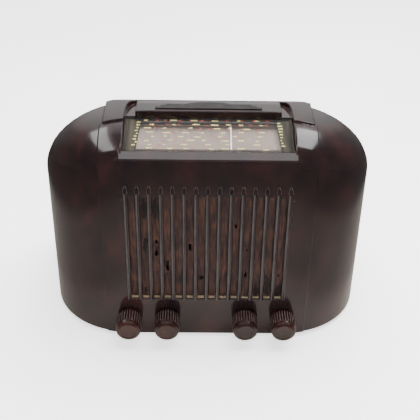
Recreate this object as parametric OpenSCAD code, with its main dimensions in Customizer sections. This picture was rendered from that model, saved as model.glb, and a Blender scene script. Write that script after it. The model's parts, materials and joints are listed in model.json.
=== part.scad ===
// Moulded mantel radio with a sloping dial, ribbed loudspeaker grille and four
// front knobs. X runs to the right, Y to the back, Z up. The origin is on the
// surface it stands on, under the middle of the whole set, knobs included.

/* [Cabinet] */
// Overall width
cabinet_w = 384; // [378:1:390]
// Depth from the front face to the back edge
cabinet_d = 200; // [196:1:206]
// Height of the crown, the highest moulded surface
cabinet_h = 280; // [278:1:284]
// Thickness of the moulded wall
wall = 4.5; // [3.5:0.5:5]
// How far the central band stands out from the body
band_rise = 1.2; // [0.6:0.2:1.6]
// How far the crown and the shoulder pads stand out from the body
crown_rise = 4; // [3:0.5:4.5]

/* [Grille] */
// Number of vertical ribs
rib_count = 15; // [11:2:15]
// Distance between rib centres
rib_pitch = 13.1; // [12:0.1:13.1]
// Radius of a rib's round front
rib_r = 2.9; // [2.2:0.1:3.2]
// Bottom of the cloth opening
grille_bottom = 60; // [58:1:66]
// Top of the cloth opening
grille_top = 203; // [198:1:206]

/* [Knobs] */
// How far the knobs stand out from the body
knob_reach = 28; // [26:1:30]
// Radius of a knob's front cap
knob_r = 14.5; // [13:0.5:15]
// Height of the row of knobs
knob_z = 30; // [28:1:32]

/* [Tuning drive] */
// Radius at which both cords run on the drum
drum_cord_r = 42; // [42:0.1:42.4]
// Radius at which the drive cord runs on the spindle
spindle_cord_r = 3.5; // [3.4:0.1:3.6]
// Where the pointer stands at rest, right of the middle
pointer_x = 25; // [-20:1:30]

/* [Hidden] */
$fn = 48;
eps = 0.01;

// Overall places
half_w = cabinet_w / 2;
front_y = knob_reach - (cabinet_d + knob_reach) / 2;
back_y = front_y + cabinet_d;
foot_h = 3;
body_top = cabinet_h - crown_rise;
band_front = front_y - band_rise;
inner_front = front_y + wall;
floor_z = foot_h + wall;

// Body form: corner seen from the front, corner seen from above, front roll and back fall
corner_a = 113;
corner_b = 80;
plan_r = 95;
base_r = 8;
roll_depth = 45;
roll_drop = 41;
fall_start = front_y + 75;
fall_r = 45;
fall_angle = 40;
arc_steps = 10;

// Bands over the shoulders and the flat deck between them
band_half = 121;
pad_half = 118;
pad_front = front_y + roll_depth;
crown_low = 150;
deck_half = 82;
deck_front = front_y + 58;
recess_half = 94;
cheek = 4;
pocket_back = front_y + 90;
pocket_floor = body_top - 10;
panel_low = body_top - roll_drop - 6;

// Dial: the glass rises from the sill at the front to the deck at the back
sill_z = 250;
sill_run = 8;
sill_rise = 7.5;
glass_y0 = front_y + sill_run;
glass_z0 = sill_z + sill_rise;
glass_rise = 0.31;
glass_angle = atan(glass_rise);
glass_length = (deck_front - glass_y0) / cos(glass_angle);
glass_t = 2.8;
glass_gap = 1.4;
gasket_t = 0.8;
ledge = 6;
ledge_t = 3;
backplate_depth = 10;
backplate_end = 55;
pointer_depth = 8.2;
pointer_half_t = 0.5;
lamp_x = [-68, 62];
lamp_z = 224;

// Tuning drive
drum_x = 85;
drum_z = 114;
cord_y = -20;
drive_cord_y = -27;
cord_half = 0.45;
pulley_cord_r = 8;
pulley_rim_r = 9.5;
stud_r = 2;
run_high = 258;
run_low = run_high - 2 * pulley_cord_r;
pulley_left_x = -90;
pulley_right_x = drum_x + drum_cord_r - pulley_cord_r;
pulley_lower_x = drum_x - drum_cord_r - pulley_cord_r;
shaft_r = 3;
running = 0.05;
rail_y = -15;
rail_z = 262;
rail_r = 1.5;
frame_y = -10;
sheet = 1.2;

// Controls
knob_x = [-93, -47, 47, 93];
shaft_hole_r = 4.2;
knob_back = band_front - 0.5;
knob_front = front_y - knob_reach;
skirt_r = knob_r + 0.7;
flutes = 30;
shaft_start = knob_front + 6.5;
grub_y = knob_front + 18;
grub_r = 2;
bush_r = 4.5;

// Chassis
chassis_half = 150;
chassis_front = -48;
chassis_back = 96;
chassis_top = 60;
chassis_bolt_r = 2.1;
bush_front = chassis_front - 8;
shaft_back = chassis_front + 10;

// Loudspeaker
speaker_z = 131;
speaker_r = 75;
baffle_t = 6;
cloth_t = 0.8;
baffle_y0 = inner_front + cloth_t;
baffle_y1 = baffle_y0 + baffle_t;
baffle_screw_r = 1.8;
speaker_bolt_circle = 68;
speaker_depth = 34;

// Valves and the rest of the chassis top
valve_spots = [[-55, 62], [-12, 68], [30, 68], [-125, -8], [131, 76]];
socket_r = 14;
base_h = 24;
bulb_r = 17;

// Back
cover_y = back_y - 7;
cover_t = 3;
boss_r = 8;
boss_l = 12;
cover_screw_r = 1.6;
boss_spots = [for (side = [-1, 1], p = [[11.5, 40], [13.5, 110]]) [side * (half_w - p.x), p.y]];

bakelite = [0.09, 0.045, 0.035];
knob_brown = [0.16, 0.06, 0.04];
steel = [0.62, 0.62, 0.6];
brass = [0.75, 0.6, 0.3];

// ---------------------------------------------------------------- helpers
function arc(cx, cy, a, b, from, to) =
    [for (i = [0:arc_steps]) let (t = from + (to - from) * i / arc_steps)
        [cx + a * cos(t), cy + b * sin(t)]];
function mirrored(points) = [for (i = [len(points) - 1:-1:0]) [-points[i].x, points[i].y]];
function glass_z(y, depth = 0) = glass_z0 + (y - glass_y0) * glass_rise - depth / cos(glass_angle);

module along_x(length) {
    translate([-length / 2, 0, 0]) rotate([90, 0, 90]) linear_extrude(length) children();
}
module along_y(from, to) {
    translate([0, to, 0]) rotate([90, 0, 0]) linear_extrude(to - from) children();
}
// A rod or a turned shape whose axis runs to the back
module turned(x, z, y) {
    translate([x, y, z]) rotate([-90, 0, 0]) children();
}
module rod_y(x, z, from, to, r) {
    turned(x, z, from) cylinder(h = to - from, r = r);
}
// A box between two corners
module block(low, high) {
    translate(low) cube(high - low);
}
module both_sides() {
    children();
    mirror([1, 0, 0]) children();
}
// A piece laid parallel to the dial glass: local x across, y up the slope, z out of it
module on_glass(depth) {
    translate([0, glass_y0, glass_z(glass_y0, depth)]) rotate([glass_angle, 0, 0]) children();
}

// ---------------------------------------------------------------- cabinet form
// Body outlines, grown outwards by g, and ending at the plane y = back
function front_half(g) = concat(
    arc(half_w - base_r, foot_h + base_r, base_r + g, base_r + g, -90, 0),
    arc(half_w - corner_a, body_top - corner_b, corner_a + g, corner_b + g, 0, 90));
function plan_half(g, back) = concat(
    arc(half_w - plan_r, front_y + plan_r, plan_r + g, plan_r + g, -90, 0),
    [[half_w + g, back]]);
// Height of the straight slope that runs down to the back edge
function slope_z(y, g) = body_top - fall_r + (fall_r + g) / cos(fall_angle)
    - (y - fall_start) * tan(fall_angle);
function side_outline(g, back) = concat(
    [[back, foot_h - g], [front_y - g, foot_h - g]],
    arc(front_y + roll_depth, body_top - roll_drop, roll_depth + g, roll_drop + g, 180, 90),
    arc(fall_start, body_top - fall_r, fall_r + g, fall_r + g, 90, 90 - fall_angle),
    [[back, slope_z(back, g)]]);

// Outline seen along the back slope, which rounds the top corners of the back
function fall_half(g) = concat([[half_w + g, -2 * cabinet_h]],
    arc(half_w - corner_a, fall_r - corner_b, corner_a + g, corner_b + g, 0, 90));

module body_form(g, back) {
    intersection() {
        translate([0, fall_start, body_top - fall_r]) rotate([-fall_angle, 0, 0])
            along_y(-cabinet_d, 2 * cabinet_d) polygon(concat(fall_half(g), mirrored(fall_half(g))));
        along_y(-cabinet_d, cabinet_d)
            polygon(concat(front_half(g), mirrored(front_half(g))));
        linear_extrude(2 * cabinet_h, center = true)
            polygon(concat(plan_half(g, back), mirrored(plan_half(g, back))));
        along_x(2 * cabinet_w) polygon(side_outline(g, back));
    }
}
// The raised crown: the pads on the shoulders, the deck between them and the top behind both
module crown() {
    intersection() {
        body_form(crown_rise, back_y);
        union() {
            both_sides() block([recess_half, pad_front, crown_low], [pad_half, back_y, cabinet_h + 1]);
            block([-deck_half, deck_front, crown_low], [deck_half, back_y, cabinet_h + 1]);
            block([-recess_half - eps, pocket_back, crown_low],
                  [recess_half + eps, back_y, cabinet_h + 1]);
        }
    }
}
module front_band() {
    intersection() {
        body_form(band_rise, back_y);
        block([-band_half, band_front, foot_h], [band_half, pad_front + 1, cabinet_h]);
    }
}
// Front panel top, sill, glass seat and the wall up to the deck, as one profile
module dial_tray() {
    floor_depth = glass_t + gasket_t;
    tray_depth = floor_depth + ledge_t;
    along_x(2 * (recess_half + cheek)) polygon([
        [band_front, panel_low],
        [band_front, sill_z],
        [glass_y0, glass_z0],
        [glass_y0, glass_z(glass_y0, floor_depth)],
        [deck_front, glass_z(deck_front, floor_depth)],
        [deck_front, cabinet_h - 1],
        [deck_front + cheek, cabinet_h - 1],
        [deck_front + cheek, glass_z(deck_front + cheek, tray_depth)],
        [inner_front, glass_z(inner_front, tray_depth)],
        [inner_front, panel_low]]);
}
// Solid sides of the dial recess, closed by the body's own surface
module recess_cheeks() {
    intersection() {
        body_form(crown_rise, back_y);
        both_sides() union() {
            block([recess_half, band_front, body_top - roll_drop],
                  [recess_half + cheek, pad_front, body_top - crown_rise]);
            block([deck_half - cheek, deck_front, pocket_floor],
                  [recess_half + cheek, pocket_back + cheek, cabinet_h]);
        }
    }
}
// Everything open above the glass, with a rounded pocket beside each end of the deck
module recess_void() {
    along_x(2 * recess_half) polygon([
        [band_front - 1, sill_z - band_rise],
        [glass_y0, glass_z0],
        [glass_y0, glass_z(glass_y0, glass_t + gasket_t)],
        [deck_front, glass_z(deck_front, glass_t + gasket_t)],
        [deck_front, 2 * cabinet_h],
        [band_front - 1, 2 * cabinet_h]]);
    both_sides() translate([0, 0, glass_z(deck_front)]) linear_extrude(cabinet_h)
        polygon(concat([[deck_half, deck_front - 1], [recess_half, deck_front - 1]],
            arc(deck_half, deck_front, recess_half - deck_half, pocket_back - deck_front, 0, 90)));
}
module dial_aperture() {
    on_glass(glass_t + gasket_t + ledge_t + 1)
        block([-recess_half + ledge, ledge, 0],
              [recess_half - ledge, glass_length - ledge, ledge_t + 2]);
}
module grille_ribs() {
    first = -(rib_count - 1) / 2;
    for (i = [0:rib_count - 1]) translate([(first + i) * rib_pitch, front_y, 0]) {
        translate([0, 0, grille_bottom - 2]) cylinder(h = grille_top + 9 - grille_bottom, r = rib_r);
        translate([0, 0, grille_top + 7]) cylinder(h = 12, r1 = rib_r, r2 = 0.4);
    }
}
module cabinet() {
    opening_half = (rib_count - 1) / 2 * rib_pitch;
    color(bakelite) {
        difference() {
            union() {
                difference() {
                    union() {
                        body_form(0, back_y);
                        crown();
                        front_band();
                    }
                    body_form(-wall, back_y + 1);
                }
                dial_tray();
                recess_cheeks();
                for (p = boss_spots) rod_y(p.x, p.y, cover_y - boss_l, cover_y, boss_r);
            }
            recess_void();
            dial_aperture();
            block([-opening_half, band_front - 1, grille_bottom],
                  [opening_half, inner_front + 1, grille_top]);
            for (x = knob_x) rod_y(x, knob_z, band_front - 1, inner_front + 1, shaft_hole_r);
            for (p = boss_spots) rod_y(p.x, p.y, cover_y - boss_l + 2, cover_y + 1, cover_screw_r);
            for (p = baffle_screw_spots) rod_y(p.x, p.y, inner_front - 2.5, inner_front + 1, baffle_screw_r);
            for (p = chassis_bolt_spots) translate([p.x, p.y, 0])
                cylinder(h = floor_z + 1, r = chassis_bolt_r);
        }
        grille_ribs();
    }
}
// Stepped plaque lying on the front of the deck
function plaque_half() = [[60, 0], [60, 4], [54, 4], [54, 8], [48, 8], [48, 11]];
module badge_plate() {
    color("black") translate([0, deck_front + 5, cabinet_h]) linear_extrude(1.2)
        polygon(concat(plaque_half(), arc(0, 11, 24, 5, 0, 180), mirrored(plaque_half())));
}
module feet() {
    color("dimgray") for (x = [-1, 1], p = [[118, -52], [150, 94]])
        translate([x * p.x, p.y, 0]) cylinder(h = foot_h, r = 9);
}

// ---------------------------------------------------------------- grille and loudspeaker
baffle_half = half_w - plan_r - 0.5;
baffle_z = [52, 212];
baffle_screw_x = (rib_count / 2 - 1) * rib_pitch;
baffle_screw_spots = [for (side = [-1, 1], z = [baffle_z[0] + 4, baffle_z[1] - 4])
    [side * baffle_screw_x, z]];
speaker_bolt_spots = [for (a = [45:90:315]) [0, speaker_z] + speaker_bolt_circle * [cos(a), sin(a)]];

module grille_cloth() {
    color([0.62, 0.36, 0.18]) difference() {
        block([-baffle_half, inner_front, baffle_z[0]], [baffle_half, baffle_y0, baffle_z[1]]);
        for (p = baffle_screw_spots) rod_y(p.x, p.y, inner_front - 1, baffle_y0 + 1, baffle_screw_r);
    }
}
module baffle_board() {
    color("burlywood") difference() {
        block([-baffle_half, baffle_y0, baffle_z[0]], [baffle_half, baffle_y1, baffle_z[1]]);
        rod_y(0, speaker_z, baffle_y0 - 1, baffle_y1 + 1, 62);
        for (p = baffle_screw_spots) rod_y(p.x, p.y, baffle_y0 - 1, baffle_y1 + 1, baffle_screw_r);
        for (p = speaker_bolt_spots) rod_y(p.x, p.y, baffle_y0 + 2, baffle_y1 + 1, baffle_screw_r);
    }
}
module screw_y(x, z, head_y, tip_y, r, head_r, head_h) {
    toward = sign(tip_y - head_y);
    rod_y(x, z, min(head_y, tip_y), max(head_y, tip_y), r);
    rod_y(x, z, min(head_y, head_y - toward * head_h), max(head_y, head_y - toward * head_h), head_r);
}
module baffle_screws() {
    color(brass) for (p = baffle_screw_spots)
        screw_y(p.x, p.y, baffle_y1, inner_front - 2.4, baffle_screw_r, 3.6, 2);
}
module speaker_bolts() {
    color(steel) for (p = speaker_bolt_spots)
        screw_y(p.x, p.y, baffle_y1 + 1.5, baffle_y0 + 2.2, baffle_screw_r, 3.4, 2.4);
}
module speaker_frame() {
    color(steel) turned(0, speaker_z, baffle_y1) difference() {
        rotate_extrude() polygon([[60, 0], [speaker_r, 0], [speaker_r, 1.5], [64, 1.5],
                                  [33, 32], [33, speaker_depth], [17, speaker_depth],
                                  [17, 32.5], [31.5, 32.5], [31.5, 30.8], [60, 2]]);
        for (p = speaker_bolt_spots) translate([p.x, speaker_z - p.y, -1])
            cylinder(h = 4, r = baffle_screw_r);
        for (a = [0:60:300]) rotate([0, 0, a + 30]) translate([48, 0, 12]) rotate([0, 90, 0])
            cylinder(h = 30, r = 7, center = true);
    }
}
module speaker_magnet() {
    color("saddlebrown") turned(0, speaker_z, baffle_y1 + speaker_depth) rotate_extrude()
        polygon([[0, -4], [11.5, -4], [11.5, 12], [15.5, 12], [15.5, 0], [31, 0], [31, 36], [0, 36]]);
}
// Paper cone with its voice coil
module speaker_cone() {
    color([0.2, 0.18, 0.16]) turned(0, speaker_z, baffle_y1) rotate_extrude()
        polygon([[56.5, 2.4], [57, 3.2], [13.6, 27.6], [13.6, 40], [12.6, 40], [12.6, 27]]);
}

// ---------------------------------------------------------------- dial
module dial_glass() {
    color([0.75, 0.8, 0.8, 0.35]) on_glass(glass_t)
        block([-recess_half + 0.3, glass_gap, 0], [recess_half - 0.3, glass_length - 0.5, glass_t]);
}
module dial_gasket() {
    color("black") on_glass(glass_t + gasket_t) difference() {
        block([-recess_half + 0.5, 1, 0], [recess_half - 0.5, glass_length - 1, gasket_t]);
        block([-recess_half + ledge, ledge, -1],
              [recess_half - ledge, glass_length - ledge, gasket_t + 1]);
    }
}
module dial_backplate() {
    color([0.7, 0.64, 0.6]) on_glass(backplate_depth + 1)
        block([-91, 2, 0], [91, backplate_end, 1]);
}
// Side brackets that carry the backplate from the dial frame
module dial_brackets() {
    depth = backplate_depth + 1;
    color(steel) both_sides() translate([78, 0, 0]) along_x(1.5) polygon([
        [-68, glass_z(-68, depth)], [-36, glass_z(-36, depth)], [-36, 237],
        [frame_y, 237], [frame_y, 232], [-44, 232]]);
}
// Sheet steel frame that stands on the chassis behind the dial
module dial_frame() {
    color(steel) difference() {
        union() {
            block([-100, frame_y, chassis_top], [-84, frame_y + sheet, 262]);
            block([126, frame_y, chassis_top], [139, frame_y + sheet, 252]);
            block([-100, frame_y, 214], [125, frame_y + sheet, 262]);
            block([-100, frame_y, 214], [139, frame_y + sheet, 240]);
            for (x = [-86, 105]) block([x, rail_y - 3, rail_z - 5], [x + 2, frame_y + eps, rail_z + 3]);
            for (x = [-100, 123])
                block([x, frame_y, chassis_top], [x + 16, frame_y + 14, chassis_top + sheet]);
        }
        translate([-100, rail_y, rail_z]) rotate([0, 90, 0]) cylinder(h = 240, r = rail_r);
        for (p = pulley_spots) rod_y(p.x, p.y, frame_y - 1, frame_y + 3, stud_r);
    }
}
module pointer_rail() {
    color(steel) translate([-88, rail_y, rail_z]) rotate([0, 90, 0]) cylinder(h = 197, r = rail_r);
}
module pointer() {
    color("white") translate([pointer_x, 0, 0]) along_x(1.4) polygon([
        [-76, glass_z(-76, pointer_depth + pointer_half_t)],
        [-76, glass_z(-76, pointer_depth - pointer_half_t)],
        [-22, glass_z(-22, pointer_depth - pointer_half_t)],
        [-22, glass_z(-22, pointer_depth + pointer_half_t)]]);
}
module pointer_carriage() {
    color(brass) translate([pointer_x, 0, 0]) difference() {
        block([-7, -23, 254], [7, -12.5, 267.5]);
        block([-0.7, -24, glass_z(-24, pointer_depth + pointer_half_t)], [0.7, -22, 268]);
        rotate([0, 90, 0]) translate([-rail_z, rail_y, -10]) cylinder(h = 20, r = rail_r + running);
        rotate([0, 90, 0]) translate([-run_high, cord_y, -10]) cylinder(h = 20, r = 0.9);
    }
}
module dial_lamps() {
    color([1, 0.9, 0.6]) for (x = lamp_x) {
        rod_y(x, lamp_z, frame_y - 16, frame_y, 6);
        rod_y(x, lamp_z, frame_y - 28, frame_y - 16, 4.5);
        translate([x, frame_y - 28, lamp_z]) sphere(r = 5);
    }
}

// ---------------------------------------------------------------- tuning drive
pulley_spots = [[pulley_left_x, run_high - pulley_cord_r],
                [pulley_right_x, run_high - pulley_cord_r],
                [pulley_lower_x, run_low - pulley_cord_r]];

// The area that the pointer cord runs round
module cord_loop() {
    difference() {
        union() {
            hull() for (i = [0, 1]) translate(pulley_spots[i]) circle(r = pulley_cord_r);
            translate([drum_x - drum_cord_r, drum_z])
                square([2 * drum_cord_r, run_high - pulley_cord_r - drum_z]);
            translate([pulley_lower_x, run_low - pulley_cord_r])
                square([pulley_cord_r + eps, pulley_cord_r + eps]);
            translate([drum_x, drum_z]) circle(r = drum_cord_r, $fn = 96);
        }
        translate(pulley_spots[2]) circle(r = pulley_cord_r);
    }
}
module pointer_cord() {
    color("tan") along_y(cord_y - cord_half, cord_y + cord_half) difference() {
        offset(delta = cord_half) cord_loop();
        offset(delta = -cord_half) cord_loop();
    }
}
module belt_outline(grow) {
    hull() {
        translate([drum_x, drum_z]) circle(r = drum_cord_r + grow, $fn = 96);
        translate([knob_x[3], knob_z]) circle(r = spindle_cord_r + grow);
    }
}
module drive_cord() {
    color("tan") along_y(drive_cord_y - cord_half, drive_cord_y + cord_half) difference() {
        belt_outline(cord_half);
        belt_outline(-cord_half);
    }
}
module drive_drum() {
    seat = drum_cord_r - cord_half - 0.2;
    rim = drum_cord_r + 2;
    y0 = drive_cord_y - 3;
    color([0.8, 0.78, 0.7]) turned(drum_x, drum_z, y0) difference() {
        rotate_extrude($fn = 96) polygon([
            [shaft_r, 0], [9, 0], [9, 6], [seat - 4, 6], [seat - 4, 0], [rim, 0], [rim, 1.6],
            [seat, 1.6], [seat, 4.4], [rim, 4.4], [rim, 8.6], [seat, 8.6], [seat, 11.4],
            [rim, 11.4], [rim, 13], [seat - 4, 13], [seat - 4, 8], [9, 8], [9, 13], [shaft_r, 13]]);
        for (a = [0:72:288]) rotate([0, 0, a]) translate([24, 0, 0]) cylinder(h = 20, r = 8);
    }
}
module pulley(x, z) {
    seat = pulley_cord_r - cord_half - 0.15;
    color(brass) turned(x, z, cord_y - 2) rotate_extrude()
        polygon([[stud_r + running, 0], [pulley_rim_r, 0], [pulley_rim_r, 0.6], [seat, 1.2],
                 [seat, 2.8], [pulley_rim_r, 3.4], [pulley_rim_r, 4], [stud_r + running, 4]]);
}
module pulley_left() pulley(pulley_spots[0].x, pulley_spots[0].y);
module pulley_right() pulley(pulley_spots[1].x, pulley_spots[1].y);
module pulley_lower() pulley(pulley_spots[2].x, pulley_spots[2].y);
module pulley_studs() {
    color(steel) for (p = pulley_spots) {
        rod_y(p.x, p.y, cord_y - 3, frame_y + sheet, stud_r);
        rod_y(p.x, p.y, cord_y - 4, cord_y - 2.3, 3.5);
        rod_y(p.x, p.y, cord_y + 2.3, frame_y, 3.5);
    }
}

// ---------------------------------------------------------------- knobs and controls
function fluted(r, depth) = [for (i = [0:4 * flutes - 1]) let (t = i * 90 / flutes)
    (r + depth * cos(flutes * t)) * [cos(t), sin(t)]];

// Flat face in a sloping rim, a plain cap, a slightly wider fluted skirt and a plain collar
module knob(x) {
    length = knob_back - knob_front;
    cap = 6;
    collar = length - 2.5;
    color(knob_brown) turned(x, knob_z, knob_front) difference() {
        union() {
            rotate_extrude() polygon([
                [0, 0.5], [knob_r - 5, 0.5], [knob_r - 4.5, 0], [knob_r - 4, 0.1], [knob_r - 0.8, 2],
                [knob_r, 2.8], [knob_r, cap], [0, cap]]);
            translate([0, 0, cap]) linear_extrude(collar - cap) polygon(fluted(skirt_r, 0.35));
            translate([0, 0, collar]) cylinder(h = length - collar, r1 = skirt_r - 0.4, r2 = knob_r);
        }
        translate([0, 0, shaft_start - knob_front - 0.5]) cylinder(h = length, r = shaft_r);
        translate([0, 0, grub_y - knob_front]) rotate([-90, 0, 0]) cylinder(h = 20, r = grub_r);
    }
}
module knob_screw(x) {
    color(steel) translate([x, grub_y, knob_z - 9.5]) cylinder(h = 6.4, r = grub_r);
}
module control_shaft(x) {
    color(steel) rod_y(x, knob_z, shaft_start, shaft_back, shaft_r);
}
// A pot or switch behind the chassis front, with its threaded bush through it
module control(x, body_r, body_l) {
    face = chassis_front + sheet;
    color([0.35, 0.3, 0.25]) difference() {
        union() {
            rod_y(x, knob_z, face, face + body_l, body_r);
            rod_y(x, knob_z, bush_front, face, bush_r);
        }
        rod_y(x, knob_z, bush_front - 1, face + body_l - 3, shaft_r + running);
    }
}
module tuning_knob() knob(knob_x[3]);
module tuning_knob_screw() knob_screw(knob_x[3]);
module tuning_spindle() {
    color(steel) difference() {
        rod_y(knob_x[3], knob_z, shaft_start, drive_cord_y + 8, shaft_r);
        turned(knob_x[3], knob_z, drive_cord_y - 1) difference() {
            cylinder(h = 2, r = 5);
            translate([0, 0, -1]) cylinder(h = 4, r = spindle_cord_r - cord_half - 0.1);
        }
    }
}
module tuning_bush() {
    color(brass) difference() {
        union() {
            rod_y(knob_x[3], knob_z, bush_front, chassis_front + sheet, bush_r);
            rod_y(knob_x[3], knob_z, chassis_front + sheet, chassis_front + sheet + 6, 7);
        }
        rod_y(knob_x[3], knob_z, bush_front - 1, chassis_front + 20, shaft_r + running);
    }
}
module volume_knob() knob(knob_x[0]);
module volume_knob_screw() knob_screw(knob_x[0]);
module volume_shaft() control_shaft(knob_x[0]);
module volume_control() control(knob_x[0], 14, 18);
module tone_knob() knob(knob_x[1]);
module tone_knob_screw() knob_screw(knob_x[1]);
module tone_shaft() control_shaft(knob_x[1]);
module tone_control() control(knob_x[1], 14, 14);
module band_knob() knob(knob_x[2]);
module band_knob_screw() knob_screw(knob_x[2]);
module band_shaft() control_shaft(knob_x[2]);
module band_switch() control(knob_x[2], 16, 34);
module control_nuts() {
    color(brass) for (x = knob_x) difference() {
        turned(x, knob_z, chassis_front - 3) cylinder(h = 3, r = 7.5, $fn = 6);
        rod_y(x, knob_z, chassis_front - 4, chassis_front + 1, bush_r);
    }
}

// ---------------------------------------------------------------- chassis and what stands on it
chassis_bolt_spots = [for (x = [-1, 1], y = [-30, 80]) [x * (chassis_half - 8), y]];

module chassis() {
    flange = 14;
    color(steel) difference() {
        block([-chassis_half, chassis_front, floor_z], [chassis_half, chassis_back, chassis_top]);
        block([-chassis_half + flange, chassis_front + sheet, floor_z - 1],
              [chassis_half - flange, chassis_back - sheet, chassis_top - sheet]);
        block([-chassis_half + sheet, chassis_front + sheet, floor_z + sheet],
              [chassis_half - sheet, chassis_back - sheet, chassis_top - sheet]);
        for (x = knob_x) rod_y(x, knob_z, chassis_front - 1, chassis_front + 3, bush_r);
        block([38, drive_cord_y - 2, chassis_top - 3], [132, drive_cord_y + 2, chassis_top + 1]);
        for (p = valve_spots) translate([p.x, p.y, chassis_top - 3]) cylinder(h = 6, r = socket_r);
        for (p = chassis_bolt_spots) translate([p.x, p.y, floor_z - 1]) cylinder(h = 4, r = chassis_bolt_r);
        block([-62, chassis_back - 3, 24], [-18, chassis_back + 1, 46]);
    }
}
module chassis_bolts() {
    color(steel) for (p = chassis_bolt_spots) translate([p.x, p.y, 0]) {
        translate([0, 0, 0.6]) cylinder(h = foot_h - 0.6, r = 4);
        translate([0, 0, foot_h]) cylinder(h = 12, r = chassis_bolt_r);
        translate([0, 0, floor_z + sheet]) difference() {
            cylinder(h = 3, r = 4, $fn = 6);
            translate([0, 0, -1]) cylinder(h = 5, r = chassis_bolt_r);
        }
    }
}
gang_half = 30;
gang_y = [-4, 60];
plate_pitch = 4;
plate_r = 22;
plate_t = 0.8;
rod_x = [drum_x - 26, drum_x + 26];
rod_z = drum_z - 18;
gang_rod_r = 2;

module gang_frame() {
    color(steel) difference() {
        union() {
            block([drum_x - gang_half, gang_y[0], chassis_top],
                  [drum_x + gang_half, gang_y[1], chassis_top + 2]);
            for (y = [gang_y[0], gang_y[1] - 2]) block([drum_x - gang_half, y, chassis_top],
                                                      [drum_x + gang_half, y + 2, drum_z + 28]);
        }
        rod_y(drum_x, drum_z, gang_y[0] - 1, gang_y[1] + 1, shaft_r + running);
        for (x = rod_x) rod_y(x, rod_z, gang_y[0] - 1, gang_y[1] + 1, gang_rod_r);
    }
}
module gang_stator() {
    color([0.8, 0.8, 0.82]) {
        for (y = [4:plate_pitch:52]) difference() {
            block([drum_x - 28, y, drum_z - 26], [drum_x + 28, y + plate_t, drum_z]);
            rod_y(drum_x, drum_z, y - 1, y + 2, 5.5);
            for (x = rod_x) rod_y(x, rod_z, y - 1, y + 2, gang_rod_r);
        }
        for (x = rod_x) rod_y(x, rod_z, gang_y[0], gang_y[1], gang_rod_r);
    }
}
module gang_rotor() {
    color([0.85, 0.85, 0.87]) {
        rod_y(drum_x, drum_z, drive_cord_y - 5, gang_y[1] + 3, shaft_r);
        for (y = [6:plate_pitch:50]) intersection() {
            rod_y(drum_x, drum_z, y, y + plate_t, plate_r);
            turned(drum_x, drum_z, y) rotate([0, 0, 34]) translate([-30, -60, -1]) cube([60, 60, 4]);
        }
    }
}
module valve_sockets() {
    color("saddlebrown") for (p = valve_spots) translate([p.x, p.y, chassis_top - 8])
        cylinder(h = 10, r = socket_r);
}
module valve_bases() {
    color([0.1, 0.08, 0.07]) for (p = valve_spots) translate([p.x, p.y, chassis_top + 2])
        cylinder(h = base_h, r = 15);
}
module valve_glass() {
    color([0.7, 0.75, 0.75, 0.5]) for (p = valve_spots) translate([p.x, p.y, chassis_top + 2 + base_h])
        rotate_extrude() polygon(concat([[0, 0], [13, 0], [bulb_r, 10]], arc(0, 42, bulb_r, 18, 0, 90)));
}
module if_cans() {
    color([0.75, 0.75, 0.73]) for (p = [[-55, 15], [90, 80]])
        block([p.x - 14, p.y - 14, chassis_top], [p.x + 14, p.y + 14, chassis_top + 72]);
}
module electrolytic_can() {
    color([0.8, 0.8, 0.78]) translate([60, 82, chassis_top]) cylinder(h = 78, r = 11.5);
}
module power_transformer() {
    color([0.25, 0.22, 0.2]) union() {
        block([-147, 30, chassis_top], [-85, 84, chassis_top + 54]);
        block([-137, 22, chassis_top + 10], [-95, 92, chassis_top + 44]);
    }
}
module output_transformer() {
    color([0.25, 0.22, 0.2]) union() {
        block([-24, 10, 24], [24, 34, chassis_top - sheet]);
        block([-16, 2, 30], [16, 42, 52]);
    }
}
module paper_capacitors() {
    color([0.75, 0.62, 0.35]) for (i = [0:4]) translate([-120 + 18 * i, 45, chassis_top - 16])
        rotate([90, 0, 0]) cylinder(h = 40, r = 6);
}

// ---------------------------------------------------------------- back
grommet_x = 80;
grommet_z = 34;
aerial_x = [-50, -30];
aerial_z = 35;

module back_cover() {
    color([0.35, 0.22, 0.12]) difference() {
        intersection() {
            body_form(-wall - 0.5, back_y);
            block([-cabinet_w, cover_y, floor_z + 0.5], [cabinet_w, cover_y + cover_t, cabinet_h]);
        }
        for (z = [74:12:158], x = [-120:48:72]) block([x, cover_y - 1, z], [x + 40, cover_y + 5, z + 4]);
        block([-66, cover_y - 1, 20], [-14, cover_y + 5, 50]);
        rod_y(grommet_x, grommet_z, cover_y - 1, cover_y + 5, 6);
        for (p = boss_spots) rod_y(p.x, p.y, cover_y - 1, cover_y + 5, cover_screw_r);
    }
}
module back_cover_screws() {
    color(brass) for (p = boss_spots)
        screw_y(p.x, p.y, cover_y + cover_t, cover_y - boss_l + 2.2, cover_screw_r, 3.4, 1.8);
}
module mains_grommet() {
    color("black") turned(grommet_x, grommet_z, cover_y) rotate_extrude()
        polygon([[3.2, -2], [8, -2], [8, 0], [6, 0], [6, cover_t], [8, cover_t], [8, 5], [3.2, 5]]);
}
module aerial_earth_sockets() {
    color([0.12, 0.1, 0.08]) difference() {
        union() {
            block([-64, chassis_back, 22], [-16, chassis_back + 2, 48]);
            for (x = aerial_x) rod_y(x, aerial_z, chassis_back - 10, chassis_back + 6, 5);
        }
        for (x = aerial_x) rod_y(x, aerial_z, chassis_back - 8, chassis_back + 7, 2);
    }
}

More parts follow.
